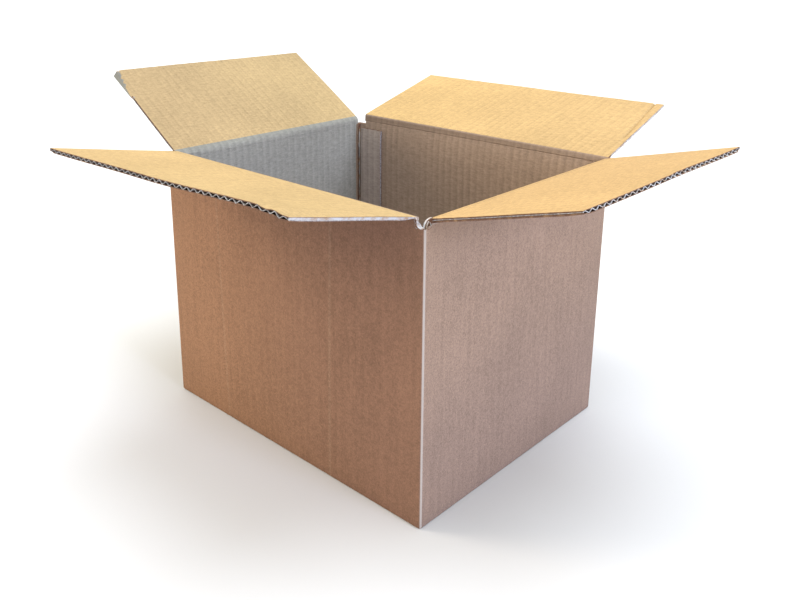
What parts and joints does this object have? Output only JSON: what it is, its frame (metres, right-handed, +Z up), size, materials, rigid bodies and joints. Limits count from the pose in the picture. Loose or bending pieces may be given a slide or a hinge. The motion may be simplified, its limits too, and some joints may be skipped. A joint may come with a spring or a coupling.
{
  "type": "open cardboard box",
  "caption": "Open corrugated cardboard shipping box with its top flaps folded out, a glued side seam and a shut bottom; the flaps hinge on their creases.",
  "frame": {"origin": "on the floor, under the middle of the box's base, centred between its four walls", "axes": "+Z up; +X along the long walls, towards the right-hand short wall; +Y towards the back long wall, the one that carries the glue tab inside"},
  "size_m": [0.5243, 0.473, 0.2999],
  "materials": {
    "kraft_board": "matte"
  },
  "bodies": {
    "box": {"box_body": "kraft_board"},
    "front_flap": {"front_flap": "kraft_board"},
    "back_flap": {"back_flap": "kraft_board"},
    "left_flap": {"left_flap": "kraft_board"},
    "right_flap": {"right_flap": "kraft_board"}
  },
  "joints": [
    {"name": "front_crease", "type": "hinge", "parent": "box", "child": "front_flap", "pos_m": [0, -0.12, 0.236], "axis": [1, 0, 0], "range_deg": [-168.4, 99.6]},
    {"name": "right_crease", "type": "hinge", "parent": "box", "child": "right_flap", "pos_m": [0.15, 0, 0.232], "axis": [0, 1, 0], "range_deg": [-163.8, 104.2]},
    {"name": "back_crease", "type": "hinge", "parent": "box", "child": "back_flap", "pos_m": [0, 0.12, 0.236], "axis": [-1, 0, 0], "range_deg": [-165, 103]},
    {"name": "left_crease", "type": "hinge", "parent": "box", "child": "left_flap", "pos_m": [-0.15, 0, 0.232], "axis": [0, -1, 0], "range_deg": [-148.5, 119.5]}
  ]
}
